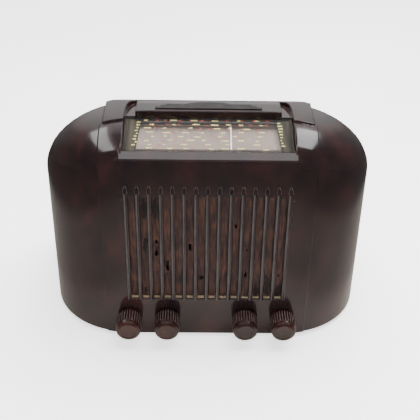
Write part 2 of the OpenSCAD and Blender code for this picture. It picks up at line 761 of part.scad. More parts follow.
cabinet();
badge_plate();
feet();
grille_cloth();
baffle_board();
baffle_screws();
dial_glass();
dial_gasket();
dial_backplate();
dial_brackets();
dial_frame();
pointer_rail();
pulley_studs();
pointer();
pointer_carriage();
pointer_cord();
drive_cord();
drive_drum();
pulley_left();
pulley_right();
pulley_lower();
tuning_knob();
tuning_knob_screw();
tuning_spindle();
tuning_bush();
volume_knob();
volume_knob_screw();
volume_shaft();
volume_control();
tone_knob();
tone_knob_screw();
tone_shaft();
tone_control();
band_knob();
band_knob_screw();
band_shaft();
band_switch();
control_nuts();
chassis();
chassis_bolts();
gang_frame();
gang_stator();
gang_rotor();
valve_sockets();
valve_bases();
valve_glass();
if_cans();
electrolytic_can();
power_transformer();
output_transformer();
paper_capacitors();
speaker_frame();
speaker_magnet();
speaker_cone();
speaker_bolts();
dial_lamps();
back_cover();
back_cover_screws();
mains_grommet();
aerial_earth_sockets();
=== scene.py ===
"""Looks of the mantel radio: smooth mouldings, cloth, glass, dial print and materials round the frame."""

import json
import math
import random

import bpy
import numpy as np
from mathutils import Matrix, Vector
from mathutils.noise import noise as noise_at


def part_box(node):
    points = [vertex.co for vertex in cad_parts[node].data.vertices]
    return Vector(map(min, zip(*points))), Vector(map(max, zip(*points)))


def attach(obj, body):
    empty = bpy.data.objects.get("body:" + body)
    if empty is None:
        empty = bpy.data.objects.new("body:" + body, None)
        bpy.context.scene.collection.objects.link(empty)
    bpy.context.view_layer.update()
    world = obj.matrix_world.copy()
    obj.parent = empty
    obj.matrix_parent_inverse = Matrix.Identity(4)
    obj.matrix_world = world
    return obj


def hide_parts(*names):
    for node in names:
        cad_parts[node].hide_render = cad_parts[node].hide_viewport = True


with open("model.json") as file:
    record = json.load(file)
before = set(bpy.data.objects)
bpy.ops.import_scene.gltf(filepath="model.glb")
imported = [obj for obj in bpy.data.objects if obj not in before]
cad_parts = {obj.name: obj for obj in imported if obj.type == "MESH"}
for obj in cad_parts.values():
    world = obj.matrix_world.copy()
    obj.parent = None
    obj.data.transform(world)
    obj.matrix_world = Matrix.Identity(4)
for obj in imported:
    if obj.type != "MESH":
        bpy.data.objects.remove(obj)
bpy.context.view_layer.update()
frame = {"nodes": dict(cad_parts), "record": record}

MM = 0.001

# ---------------------------------------------------------------- places read from the frame
CABINET_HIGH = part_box("cabinet")[1]
FOOT_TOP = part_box("feet")[1].z
HALF_W = CABINET_HIGH.x
BACK = CABINET_HIGH.y
CROWN_TOP = CABINET_HIGH.z

# Form of the moulding, as in the CAD model
WALL = 4.5 * MM
BAND_RISE = 1.2 * MM
CROWN_RISE = 4 * MM
FRONT = BACK - 200 * MM
BODY_TOP = CROWN_TOP - CROWN_RISE
CORNER_A = 113 * MM
CORNER_B = 80 * MM
PLAN_R = 95 * MM
PLAN_R_LOSS = 0.45
BASE_R = 5 * MM
ROLL_DEPTH = 45 * MM
ROLL_DROP = 41 * MM
FALL_START = FRONT + 75 * MM
FALL_R = 45 * MM
FALL_ANGLE = math.radians(40)
BAND_HALF = 121 * MM
PAD_HALF = 118 * MM
PAD_FRONT = FRONT + ROLL_DEPTH
CROWN_LOW = 150 * MM
DECK_HALF = 82 * MM
DECK_FRONT = FRONT + 58 * MM
POCKET_BACK = FRONT + 90 * MM
POCKET_FLOOR = BODY_TOP - 10 * MM
RECESS_HALF = 94 * MM
CHEEK = 4 * MM
SILL_Z = 250 * MM
GLASS_Y0 = FRONT + 8 * MM
GLASS_Z0 = SILL_Z + 7.5 * MM
GLASS_RISE = 0.31
GLASS_ANGLE = math.atan(GLASS_RISE)
GLASS_LENGTH = (DECK_FRONT - GLASS_Y0) / math.cos(GLASS_ANGLE)
SEAT_DEPTH = 3.6 * MM
LEDGE = 6 * MM
LEDGE_T = 3 * MM
GRILLE_LOW = 60 * MM
GRILLE_HIGH = 203 * MM
RIB_COUNT = 15
RIB_PITCH = 13.1 * MM
RIB_R = 2.9 * MM
GRILLE_HALF = (RIB_COUNT - 1) / 2 * RIB_PITCH
TIP_START = GRILLE_HIGH + 5 * MM
TIP_TOP = GRILLE_HIGH + 19 * MM
SHAFT_HOLE_R = 4.2 * MM
CUT_DEPTH = 3 * WALL
KNOBS = ("volume_knob", "tone_knob", "band_knob", "tuning_knob")

# Making of the moulding: step for slopes, steepest slope allowed for, and the moves onto the surface
SLOPE_STEP = 0.05 * MM
SLOPE_LIMIT = 4
MOVE_ROUNDS = 4
MOVE_LIMIT = 0.8 * MM
LEAST_SLOPE = 0.2

# Finer detail that the CAD model leaves out; plain numbers here are millimetres
RIB_STEPS = 16
RIB_SQUARE = 0.8
TIP_STEPS = 14
SILL_STEPS = 8
FLUTES = 30
KNOB_AROUND = 360
SKIRT_RINGS = (13, 14, 15)
THREAD = 0.65 * MM
# Worn patches in the cloth: slot from the left, bottom, top and width
TEARS = [(2, 170, 198, 5.5), (2, 121, 145, 4.5), (2, 62, 74, 3), (3, 168, 199, 6), (3, 136, 142, 5),
         (3, 118, 129, 3.5), (3, 92, 98, 2.5), (4, 94, 113, 3.5), (6, 126, 137, 3.5), (7, 84, 91, 4.5),
         (10, 158, 165, 3), (11, 126, 130, 2.5), (11, 84, 99, 3.5), (12, 58, 78, 5), (13, 58, 92, 7),
         (14, 58, 77, 7.5), (14, 88, 94, 2.5)]
PRINT_DEPTH = 2.75
PRINT_HALF = 93.4
PRINT_LOW, PRINT_HIGH = 1.5, 51.6
WINDOW = (1.8, 47.5)
DIAL_ROWS = 7
BADGE_BAND = (44, 8.6, 11)
VALVE_SPOTS = [(-55, 62), (-12, 68), (30, 68), (-125, -8), (131, 76)]

# Direction of the pale wall, and brightness of the room by how squarely one looks at it
PALE_WALL = (0, 0.84, 0.54)
ROOM = [(0.0, 0.06), (0.45, 0.08), (0.75, 0.2), (0.95, 1.0)]
ROOM_LIGHT = 1.3
FLOOR_GLOW = 1.6
# Table top tones by distance from the middle: a painted pool of light that falls off outwards
TABLE_REACH = 0.5
TABLE_LIGHT_POOL_TONES = [(0.36, 0.34), (0.5, 0.13), (0.8, 0.1), (0.9, 0.015)]


def smooth_max(a, b, blend):
    """The larger of two values, rounded over where they differ by less than blend."""
    h = np.maximum(blend - np.abs(a - b), 0) / blend
    return np.maximum(a, b) + h * h * blend / 4


def smooth_min(a, b, blend):
    """The smaller of two values, rounded over where they differ by less than blend."""
    return -smooth_max(-a, -b, blend)


def eased(t, width):
    """Smooth step from 0 to 1, as wide as width, round t = 0."""
    s = np.clip(t / width + 0.5, 0, 1)
    return s * s * (3 - 2 * s)


def glass_height(y, z):
    """Height above the top face of the dial glass, square to it."""
    return (z - GLASS_Z0) * math.cos(GLASS_ANGLE) - (y - GLASS_Y0) * math.sin(GLASS_ANGLE)


def glass_run(y, z):
    """Distance up the slope of the glass from its front edge."""
    return (y - GLASS_Y0) * math.cos(GLASS_ANGLE) + (z - GLASS_Z0) * math.sin(GLASS_ANGLE)


# ---------------------------------------------------------------- the moulding as a distance field
def fall_height(y, z):
    """Height square to the back slope, from the middle of the arc that leads into it."""
    behind, above = y - FALL_START, z - (BODY_TOP - FALL_R)
    return behind * math.sin(FALL_ANGLE) + above * math.cos(FALL_ANGLE)


def section_gap(x, y, z, grow):
    """Distance within a level slice from the outline, at that height, of the body grown outwards."""
    level = (z - (BODY_TOP - CORNER_B)) / (CORNER_B + grow)
    tilted = (fall_height(y, z) - (FALL_R - CORNER_B)) / (CORNER_B + grow)
    up = np.clip(np.where(y > FALL_START, np.maximum(level, tilted), level), 0, 1)
    roll = np.clip((z - (BODY_TOP - ROLL_DROP)) / (ROLL_DROP + grow), 0, 1)
    foot = np.clip((FOOT_TOP + BASE_R - z) / BASE_R, 0, 1)
    tuck = BASE_R * (1 - np.sqrt(1 - foot * foot))
    half = HALF_W - CORNER_A + (CORNER_A + grow) * np.sqrt(1 - up * up) - tuck
    front = FRONT + ROLL_DEPTH - (ROLL_DEPTH + grow) * np.sqrt(1 - roll * roll) + tuck
    radius = PLAN_R * (1 - PLAN_R_LOSS * up * up) + grow
    over_x = x - (half - radius)
    over_y = front + radius - y
    return (np.hypot(np.maximum(over_x, 0), np.maximum(over_y, 0))
            + np.minimum(np.maximum(over_x, over_y), 0) - radius)


def body_gap(x, y, z, grow):
    """Distance from the body grown outwards, or inwards where grow is negative."""
    higher, lower = section_gap(x, y, z + SLOPE_STEP, grow), section_gap(x, y, z - SLOPE_STEP, grow)
    slope = (higher - lower) / (2 * SLOPE_STEP)
    slope = np.clip(slope, -SLOPE_LIMIT, SLOPE_LIMIT)
    side = section_gap(x, y, z, grow) / np.sqrt(1 + slope * slope)
    behind, above = np.maximum(y - FALL_START, 0), z - (BODY_TOP - FALL_R)
    on_arc = np.arctan2(behind, above) < FALL_ANGLE
    lift = np.where(on_arc, np.hypot(behind, above), fall_height(FALL_START + behind, z))
    return smooth_max(side, lift - FALL_R - grow, 0.1 * MM + 0.04 * behind)


def recess_gap(x, y, z):
    """Dial recess above the glass, with a rounded pocket at each end."""
    seat = glass_height(y, z) + SEAT_DEPTH
    main = np.maximum(np.maximum(x - RECESS_HALF, y - DECK_FRONT), -seat)
    reach = np.hypot((x - DECK_HALF) / (RECESS_HALF - DECK_HALF),
                     (y - DECK_FRONT) / (POCKET_BACK - DECK_FRONT))
    floor = GLASS_Z0 + GLASS_RISE * (DECK_FRONT - GLASS_Y0) - z
    pocket = np.maximum(np.maximum(DECK_HALF - x, (reach - 1) * 14 * MM), floor)
    return np.minimum(main, np.maximum(pocket, DECK_FRONT - 2 * MM - y))


def block_gap(x, y, z):
    """Front panel top with its sill, and the seat below the glass."""
    run, rise = GLASS_Y0 - (FRONT - BAND_RISE), GLASS_Z0 - SILL_Z
    long = math.hypot(run, rise)
    sill = ((z - SILL_Z) * run - (y - FRONT + BAND_RISE) * rise) / long
    seat = np.maximum(sill, np.minimum(y - GLASS_Y0, glass_height(y, z) + SEAT_DEPTH))
    sides = smooth_max(x - RECESS_HALF - CHEEK, FRONT - BAND_RISE - y, 1.5 * MM)
    box = np.maximum(sides, np.maximum(y - DECK_FRONT - CHEEK, 0.2 - z))
    return smooth_max(box, seat, 1.5 * MM)


def cabinet_gap(points):
    """Whole cabinet: negative inside the moulding, positive outside, zero on its surface."""
    x, y, z = np.abs(points[..., 0]), points[..., 1], points[..., 2]
    band = BAND_RISE * eased(BAND_HALF - x, 1.0 * MM) * (y < PAD_FRONT + CHEEK)
    pad = eased(PAD_HALF - x, 1.6 * MM) * eased(y - PAD_FRONT, 1.6 * MM) * (z > CROWN_LOW)
    outer = body_gap(x, y, z, np.maximum(band, CROWN_RISE * pad))
    outer = smooth_max(outer, -recess_gap(x, y, z), 2.2 * MM)
    solid = smooth_min(outer, block_gap(x, y, z), 0.8 * MM)
    solid = np.maximum(solid, np.maximum(FOOT_TOP - z, y - BACK))
    seat = glass_height(y, z) + SEAT_DEPTH
    tray = np.maximum(np.maximum(x - RECESS_HALF - CHEEK, y - DECK_FRONT - CHEEK), -seat - LEDGE_T)
    middle = (DECK_HALF + RECESS_HALF) / 2
    width = (RECESS_HALF - DECK_HALF) / 2 + CHEEK
    pocket_wall = np.maximum(np.maximum(np.abs(x - middle) - width, y - POCKET_BACK - CHEEK),
                             POCKET_FLOOR - z)
    void = np.maximum(body_gap(x, y, z, -WALL), -np.minimum(tray, pocket_wall))
    solid = np.maximum(solid, -void)
    run = glass_run(y, z)
    aperture = np.maximum(np.maximum(x - RECESS_HALF + LEDGE, np.abs(seat + 2 * MM) - 5 * MM),
                          np.maximum(LEDGE - run, run - GLASS_LENGTH + LEDGE))
    solid = smooth_max(solid, -aperture, 0.6 * MM)
    middle = (GRILLE_LOW + GRILLE_HIGH) / 2
    opening = np.maximum(np.maximum(x - GRILLE_HALF, np.abs(z - middle) - (GRILLE_HIGH - middle)),
                         y - FRONT - CUT_DEPTH)
    solid = smooth_max(solid, -opening, 1.4 * MM)
    for node in ("volume_knob", "tone_knob"):
        low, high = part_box(node)
        centre = (low + high) / 2
        hole = np.hypot(x - abs(centre.x), z - centre.z) - SHAFT_HOLE_R
        solid = np.maximum(solid, -np.maximum(hole, y - FRONT - CUT_DEPTH))
    return solid


def graded(*runs):
    """Grid values from (start, end, spacing) runs laid end to end."""
    values = []
    for start, end, spacing in runs:
        count = max(1, round((end - start) / spacing))
        values += [start + (end - start) * i / count for i in range(count)]
    return np.array(values + [runs[-1][1]]) * MM


def surface_net(axes, gap):
    """Closed quad mesh of gap(points) = 0 over a rectilinear grid."""
    grid = np.stack(np.meshgrid(*axes, indexing="ij"), -1)
    field = gap(grid)
    cells = np.array(field.shape) - 1
    total = np.zeros((*cells, 3))
    count = np.zeros(cells)
    rings = []
    for axis in range(3):
        others = [(axis + 1) % 3, (axis + 2) % 3]
        near, far = np.delete(field, -1, axis), np.delete(field, 0, axis)
        cross = (near < 0) != (far < 0)
        index = np.argwhere(cross)
        share = near[cross] / (near[cross] - far[cross])
        at = np.stack([axes[i][index[:, i]] for i in range(3)], -1)
        at[:, axis] += share * (axes[axis][index[:, axis] + 1] - axes[axis][index[:, axis]])
        ring = []
        for back in ((0, 0), (1, 0), (1, 1), (0, 1)):
            cell = index.copy()
            cell[:, others[0]] -= back[0]
            cell[:, others[1]] -= back[1]
            np.add.at(total, tuple(cell.T), at)
            np.add.at(count, tuple(cell.T), 1)
            ring.append(np.ravel_multi_index(tuple(cell.T), tuple(cells)))
        ring = np.stack(ring, -1)
        flip = far[cross] < 0
        ring[flip] = ring[flip][:, ::-1]
        rings.append(ring)
    used = count > 0
    number = np.full(used.size, -1)
    number[used.ravel()] = np.arange(used.sum())
    points = total[used] / count[used][:, None]
    return points, number[np.concatenate(rings)]


def gradient(gap, points, h=0.03 * MM):
    """Slope of the gap at each point, along the three axes."""
    out = np.zeros_like(points)
    for axis in range(3):
        shift = np.zeros(3)
        shift[axis] = h
        out[:, axis] = (gap(points + shift) - gap(points - shift)) / (2 * h)
    return out


def add_mesh(name, points, faces, sharp=None):
    """Mesh object, smooth all over or with edges kept sharp above an angle in degrees."""
    mesh = bpy.data.meshes.new(name)
    mesh.from_pydata([tuple(point) for point in points], [], faces)
    mesh.shade_smooth()
    if sharp is not None:
        mesh.set_sharp_from_angle(angle=math.radians(sharp))
    piece = bpy.data.objects.new(name, mesh)
    bpy.context.scene.collection.objects.link(piece)
    return piece


def moulded(name, axes, gap):
    """Mesh object on the surface gap = 0, with exact normals."""
    points, quads = surface_net(axes, gap)
    for _ in range(MOVE_ROUNDS):
        slope = gradient(gap, points)
        size = np.maximum((slope ** 2).sum(1), LEAST_SLOPE)
        move = -(gap(points) / size)[:, None] * slope
        reach = np.linalg.norm(move, axis=1)[:, None]
        points += move * np.minimum(1, MOVE_LIMIT / np.maximum(reach, 1e-12))
    normals = gradient(gap, points)
    normals /= np.maximum(np.linalg.norm(normals, axis=1), 1e-9)[:, None]
    piece = add_mesh(name, points.tolist(), quads.tolist())
    piece.data.normals_split_custom_set_from_vertices(normals.tolist())
    return piece


def cabinet_axes():
    """Grid values, in metres, closest together where the moulding has small features."""
    fine = 0.8
    half = [(0, 80, 8), (80, 84, fine), (84, 92, 2), (92, 99.5, fine), (99.5, 116, 2.4), (116, 123, fine),
            (123, 175, 2.6), (175, 195, 2)]
    right = graded(*half)
    xs = np.concatenate([-right[:0:-1], right])
    ys = graded((-90, -76, 1.3), (-76, -44, 2.4), (-44, -38, fine), (-38, -30, 2), (-30, -22, fine),
                (-22, 12, 2.6), (12, 106, 2.7), (106, 118, 2))
    zs = graded((0, 12, 1.6), (12, 56, 5), (56, 64, 1.2), (64, 140, 7), (140, 198, 2.6), (198, 206, 1.2),
                (206, 244, 2.6), (244, 283, 1.2))
    return xs, ys, zs


# ---------------------------------------------------------------- materials
def make_material(name):
    material = bpy.data.materials.new(name)
    material.use_nodes = True
    nodes = material.node_tree.nodes
    links = material.node_tree.links
    return material, nodes, links, nodes["Principled BSDF"]


def noise(nodes, links, scale, detail=4, roughness=0.5, stretch=None):
    coordinates = nodes.new("ShaderNodeTexCoord")
    texture = nodes.new("ShaderNodeTexNoise")
    texture.inputs["Scale"].default_value = scale
    texture.inputs["Detail"].default_value = detail
    texture.inputs["Roughness"].default_value = roughness
    if stretch:
        mapping = nodes.new("ShaderNodeMapping")
        mapping.inputs["Scale"].default_value = stretch
        links.new(coordinates.outputs["Object"], mapping.inputs["Vector"])
        links.new(mapping.outputs["Vector"], texture.inputs["Vector"])
    else:
        links.new(coordinates.outputs["Object"], texture.inputs["Vector"])
    return texture.outputs["Fac"]


def ramp(nodes, links, source, stops):
    node = nodes.new("ShaderNodeValToRGB")
    elements = node.color_ramp.elements
    while len(elements) < len(stops):
        elements.new(0.5)
    for element, (place, colour) in zip(elements, stops):
        element.position = place
        element.color = (*colour, 1) if len(colour) == 3 else colour
    links.new(source, node.inputs["Fac"])
    return node.outputs["Color"]


def spread(nodes, links, source, low, high):
    """Stretches the usual range of a noise to the range low to high."""
    node = nodes.new("ShaderNodeMapRange")
    node.inputs["From Min"].default_value = 0.3
    node.inputs["From Max"].default_value = 0.7
    node.inputs["To Min"].default_value = low
    node.inputs["To Max"].default_value = high
    links.new(source, node.inputs["Value"])
    return node.outputs["Result"]


def bump(nodes, links, shader, height, strength, distance):
    node = nodes.new("ShaderNodeBump")
    node.inputs["Strength"].default_value = strength
    node.inputs["Distance"].default_value = distance
    links.new(height, node.inputs["Height"])
    links.new(node.outputs["Normal"], shader.inputs["Normal"])


def bakelite(name, dark, mid, light, roughness):
    """Polished moulding powder: mottled in three tones, with fine wear and a faint ripple."""
    material, nodes, links, shader = make_material(name)
    mottle = noise(nodes, links, 38, detail=6, roughness=0.62, stretch=(1, 1, 0.7))
    colour = ramp(nodes, links, mottle, [(0.34, dark), (0.52, mid), (0.68, light)])
    links.new(colour, shader.inputs["Base Color"])
    wear = noise(nodes, links, 90, detail=5, roughness=0.6)
    links.new(spread(nodes, links, wear, roughness * 0.75, roughness * 1.35), shader.inputs["Roughness"])
    shader.inputs["IOR"].default_value = 1.6
    shader.inputs["Coat Weight"].default_value = 0.35
    shader.inputs["Coat Roughness"].default_value = 0.06
    ripple = noise(nodes, links, 14, detail=3, roughness=0.5)
    bump(nodes, links, shader, ripple, 0.05, 1.5 * MM)
    return material


def plain(name, colour, roughness, metallic=0.0, variation=0.25, scale=120, depth=0.15, stretch=None,
          shine=0.5):
    """Painted, plated, moulded or paper surface with slight variation in colour, gloss and height."""
    material, nodes, links, shader = make_material(name)
    grain = noise(nodes, links, scale, detail=6, roughness=0.6, stretch=stretch)
    dark = tuple(c * (1 - variation) for c in colour)
    light = tuple(min(1, c * (1 + variation)) for c in colour)
    links.new(ramp(nodes, links, grain, [(0.35, dark), (0.65, light)]), shader.inputs["Base Color"])
    rough = noise(nodes, links, scale * 0.3, detail=4)
    links.new(spread(nodes, links, rough, roughness * 0.8, min(1, roughness * 1.25)),
              shader.inputs["Roughness"])
    shader.inputs["Metallic"].default_value = metallic
    shader.inputs["Specular IOR Level"].default_value = shine
    bump(nodes, links, shader, grain, depth, 0.3 * MM)
    return material


def glass_material(name, tint, dust=0.02):
    """Thin clear glass: sharp reflections over a see-through body, with faint dust and smears."""
    material, nodes, links, shader = make_material(name)
    smears = noise(nodes, links, 25, detail=5, stretch=(1, 3, 1))
    shader.inputs["Base Color"].default_value = (0.02, 0.02, 0.02, 1)
    shader.inputs["Metallic"].default_value = 0.0
    shader.inputs["IOR"].default_value = 8.0
    links.new(spread(nodes, links, smears, 0.02, 0.07), shader.inputs["Roughness"])
    clear = nodes.new("ShaderNodeBsdfTransparent")
    clear.inputs["Color"].default_value = (*tint, 1)
    edge = nodes.new("ShaderNodeLayerWeight")
    edge.inputs["Blend"].default_value = 0.5
    steep = nodes.new("ShaderNodeMath")
    steep.operation = "POWER"
    steep.inputs[1].default_value = 5
    links.new(edge.outputs["Facing"], steep.inputs[0])
    haze = nodes.new("ShaderNodeMath")
    haze.operation = "ADD"
    links.new(steep.outputs[0], haze.inputs[0])
    links.new(spread(nodes, links, smears, 0.03, 0.03 + dust), haze.inputs[1])
    mix = nodes.new("ShaderNodeMixShader")
    links.new(haze.outputs[0], mix.inputs["Fac"])
    links.new(clear.outputs["BSDF"], mix.inputs[1])
    links.new(shader.outputs["BSDF"], mix.inputs[2])
    links.new(mix.outputs["Shader"], nodes["Material Output"].inputs["Surface"])
    return material


def weave_material(name):
    """Loudspeaker cloth: plain weave with streaky upright brown threads, soiled unevenly."""
    material, nodes, links, shader = make_material(name)
    coordinates = nodes.new("ShaderNodeTexCoord")
    waves = []
    for direction in ("X", "Z"):
        wave = nodes.new("ShaderNodeTexWave")
        wave.bands_direction = direction
        wave.inputs["Scale"].default_value = 230
        wave.inputs["Distortion"].default_value = 0.6
        wave.inputs["Detail"].default_value = 2
        links.new(coordinates.outputs["Object"], wave.inputs["Vector"])
        waves.append(wave.outputs["Fac"])
    threads = nodes.new("ShaderNodeMath")
    threads.operation = "MULTIPLY"
    links.new(waves[0], threads.inputs[0])
    links.new(waves[1], threads.inputs[1])
    blotch = noise(nodes, links, 45, detail=5, roughness=0.6)
    fleck = noise(nodes, links, 650, detail=3, stretch=(1, 1, 0.1))
    mix = nodes.new("ShaderNodeMath")
    mix.operation = "MULTIPLY_ADD"
    mix.inputs[1].default_value = 1.0
    links.new(fleck, mix.inputs[0])
    links.new(spread(nodes, links, blotch, 0.2, 0.4), mix.inputs[2])
    colour = ramp(nodes, links, mix.outputs[0],
                  [(0.6, (0.010, 0.004, 0.003)), (0.8, (0.034, 0.012, 0.008)), (1.0, (0.085, 0.030, 0.015))])
    links.new(colour, shader.inputs["Base Color"])
    shader.inputs["Roughness"].default_value = 0.85
    shader.inputs["Sheen Weight"].default_value = 0.3
    shader.inputs["Sheen Roughness"].default_value = 0.5
    bump(nodes, links, shader, threads.outputs[0], 0.6, 0.3 * MM)
    return material


MATERIALS = {
    "cabinet_bakelite": bakelite("cabinet_bakelite", (0.007, 0.004, 0.005), (0.012, 0.006, 0.006),
                                 (0.022, 0.008, 0.008), 0.14),
    "knob_bakelite": bakelite("knob_bakelite", (0.008, 0.003, 0.003), (0.016, 0.005, 0.004),
                              (0.032, 0.009, 0.007), 0.22),
    "rubber": plain("rubber", (0.02, 0.02, 0.02), 0.7, depth=0.3),
    "grille_cloth": weave_material("grille_cloth"),
    "plywood": plain("plywood", (0.012, 0.010, 0.009), 0.8, scale=60),
    "brass": plain("brass", (0.72, 0.52, 0.24), 0.3, metallic=1.0),
    "dial_glass": glass_material("dial_glass", (0.98, 0.99, 0.98)),
    "dial_reflector": plain("dial_reflector", (0.21, 0.162, 0.146), 0.5, variation=0.06, scale=40),
    "zinc_steel": plain("zinc_steel", (0.5, 0.5, 0.48), 0.4, metallic=1.0, variation=0.12),
    "bright_steel": plain("bright_steel", (0.62, 0.62, 0.6), 0.25, metallic=1.0, variation=0.08),
    "off_white_paint": plain("off_white_paint", (0.85, 0.83, 0.78), 0.4, variation=0.05),
    "dial_cord": plain("dial_cord", (0.55, 0.43, 0.26), 0.8, scale=900, depth=0.6),
    "drum_metal": plain("drum_metal", (0.6, 0.58, 0.52), 0.45, metallic=0.8),
    "phenolic_board": plain("phenolic_board", (0.16, 0.085, 0.04), 0.5),
    "aluminium": plain("aluminium", (0.72, 0.72, 0.72), 0.35, metallic=1.0, variation=0.08),
    "valve_base": plain("valve_base", (0.03, 0.025, 0.022), 0.35),
    "valve_glass": glass_material("valve_glass", (0.9, 0.93, 0.92)),
    "black_paint": plain("black_paint", (0.02, 0.018, 0.018), 0.45, shine=0.12),
    "waxed_paper": plain("waxed_paper", (0.5, 0.37, 0.17), 0.5),
    "cone_paper": plain("cone_paper", (0.05, 0.045, 0.04), 0.9, scale=400, depth=0.5),
    "lamp_glass": glass_material("lamp_glass", (0.95, 0.9, 0.75)),
    "fibreboard": plain("fibreboard", (0.17, 0.095, 0.045), 0.8, scale=260, depth=0.5),
}
DIAL_MASK = plain("dial_mask", (0.022, 0.016, 0.010), 0.55, variation=0.8, scale=220, stretch=(1, 0.04, 0.04))
DIAL_STRIP = plain("dial_strip", (0.003, 0.003, 0.003), 0.55, variation=0.3)
DIAL_YELLOW = plain("dial_yellow", (0.62, 0.55, 0.17), 0.5, variation=0.1)
DIAL_RED = plain("dial_red", (0.42, 0.05, 0.035), 0.5, variation=0.1)
DIAL_RULE = plain("dial_rule", (0.25, 0.11, 0.09), 0.5, variation=0.1)
SILL_WORN = plain("sill_worn", (0.30, 0.22, 0.14), 0.6, variation=0.45, scale=260)
BADGE_GREY = plain("badge_grey", (0.30, 0.26, 0.25), 0.45, variation=0.12, scale=160)
# Painted highlight on the rib edges: a paler colour standing in for reflected light
RIB_PAINTED_HIGHLIGHT = plain("rib_painted_highlight", (0.035, 0.032, 0.033), 0.35, variation=0.3, scale=60)
# Painted highlight on the knob flute crests: a paler colour standing in for the light they catch
CREST_PAINTED_HIGHLIGHT = plain("crest_painted_highlight", (0.07, 0.055, 0.05), 0.45, variation=0.5, scale=300)
ANODE_GREY = plain("anode_grey", (0.12, 0.12, 0.12), 0.6, metallic=0.5)


# ---------------------------------------------------------------- grille
def rib_section(radius):
    """Outline of a rib seen from above, as (x, y) round the flattened front and back flanks."""
    back = WALL - 0.3 * MM
    points = [(-radius, back), (radius, back)]
    for step in range(RIB_STEPS + 1):
        angle = math.pi * step / RIB_STEPS
        across, out = math.cos(angle), math.sin(angle)
        points.append((radius * math.copysign(abs(across) ** RIB_SQUARE, across),
                       -radius * out ** RIB_SQUARE))
    return points[::-1]


def rib_levels():
    """(height, share of the full radius) up a rib, from its foot to its pointed tip."""
    low = GRILLE_LOW - 2 * MM
    levels = [(low, 0.3), (low + 0.3 * MM, 0.7), (low + 0.9 * MM, 0.93), (low + 2 * MM, 1.0),
              (TIP_START, 1.0)]
    for step in range(1, TIP_STEPS + 1):
        share = step / TIP_STEPS
        levels.append((TIP_START + (TIP_TOP - TIP_START) * share, max(0.02, 1 - share ** 2.2)))
    return levels


def make_ribs():
    """The ribs across the grille opening, as one piece."""
    points, faces = [], []
    levels = rib_levels()
    for rib in range(RIB_COUNT):
        centre = (rib - (RIB_COUNT - 1) / 2) * RIB_PITCH
        base = len(points)
        for height, share in levels:
            points += [(centre + x, FRONT + y, height) for x, y in rib_section(RIB_R * share)]
        around = len(rib_section(RIB_R))
        faces += tube_faces(base, around, len(levels))
    return add_mesh("grille_ribs", points, faces, sharp=60)


def paint_rib_highlights(piece):
    """Painted highlights: paler edges round the rib tips and a paler line down the front of each rib,
    standing in for the light the ribs reflect.
    """
    piece.data.materials.append(RIB_PAINTED_HIGHLIGHT)
    for face in piece.data.polygons:
        middle = face.center
        rib = round((middle.x + GRILLE_HALF) / RIB_PITCH)
        across = (middle.x + GRILLE_HALF - rib * RIB_PITCH) / RIB_R
        raised = FRONT - middle.y
        on_tip = middle.z > TIP_START
        if on_tip and 0.05 * MM < raised < 0.7 * RIB_R and abs(across) > 0.1:
            face.material_index = 1
        elif not on_tip and raised > 0.6 * RIB_R and -0.6 < across < -0.1:
            face.material_index = 1


def tube_faces(base, around, rings, caps=True):
    """Quads between rings of points laid one after another, closed at both ends."""
    faces = []
    for ring in range(rings - 1):
        for step in range(around):
            a, b = base + ring * around + step, base + ring * around + (step + 1) % around
            faces.append((a, b, b + around, a + around))
    if caps:
        faces.append(tuple(range(base + around - 1, base - 1, -1)))
        faces.append(tuple(range(base + (rings - 1) * around, base + rings * around)))
    return faces


def torn(x, z):
    """True where the cloth has worn through: ragged patches between the ribs."""
    for slot, low, high, width in TEARS:
        centre = (slot - RIB_COUNT / 2) * RIB_PITCH
        across = (x - centre) / (width / 2 * MM)
        along = (z / MM - (low + high) / 2) / ((high - low) / 2)
        fray = noise_at(Vector((x * 900, slot, z * 160)))
        rough = noise_at(Vector((x * 260, slot + 9.5, z * 260)))
        if math.hypot(across, along) + 0.55 * fray + 0.5 * rough < 0.95:
            return True
    return False


def make_cloth():
    """The cloth as a slightly slack sheet of threads, with its worn holes."""
    low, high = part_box("grille_cloth")
    columns, rows = round((high.x - low.x) / THREAD), round((high.z - low.z) / THREAD)
    middle = (low.y + high.y) / 2
    points, faces = [], []
    for row in range(rows + 1):
        z = low.z + (high.z - low.z) * row / rows
        for column in range(columns + 1):
            x = low.x + (high.x - low.x) * column / columns
            slack = 0.25 * MM * noise_at(Vector((x * 60, 3, z * 25)))
            points.append((x, middle + slack, z))
    for row in range(rows):
        for column in range(columns):
            a = row * (columns + 1) + column
            x = low.x + (column + 0.5) * (high.x - low.x) / columns
            z = low.z + (row + 0.5) * (high.z - low.z) / rows
            if not torn(x, z):
                faces.append((a, a + 1, a + columns + 2, a + columns + 1))
    piece = add_mesh("grille_cloth_weave", points, faces)
    return piece


def make_sill_dust():
    """The pale worn ledge along the bottom of the grille opening, one run between each pair of ribs."""
    points, faces = [], []
    half = RIB_PITCH / 2 - RIB_R * 0.8
    for slot in range(1, RIB_COUNT):
        centre = (slot - RIB_COUNT / 2) * RIB_PITCH
        for step in range(SILL_STEPS + 1):
            share = 2 * step / SILL_STEPS - 1
            x = centre + half * share
            sag = 0.5 * MM * share * share
            for y, z in ((0.2, -0.9), (0.7, 0.0), (1.6, 0.35), (4.3, 0.35)):
                points.append((x, FRONT + y * MM, GRILLE_LOW + z * MM + sag))
        base = len(points) - 4 * (SILL_STEPS + 1)
        for step in range(SILL_STEPS):
            for row in range(3):
                a = base + 4 * step + row
                faces.append((a, a + 4, a + 5, a + 1))
    return add_mesh("grille_sill", points, faces)


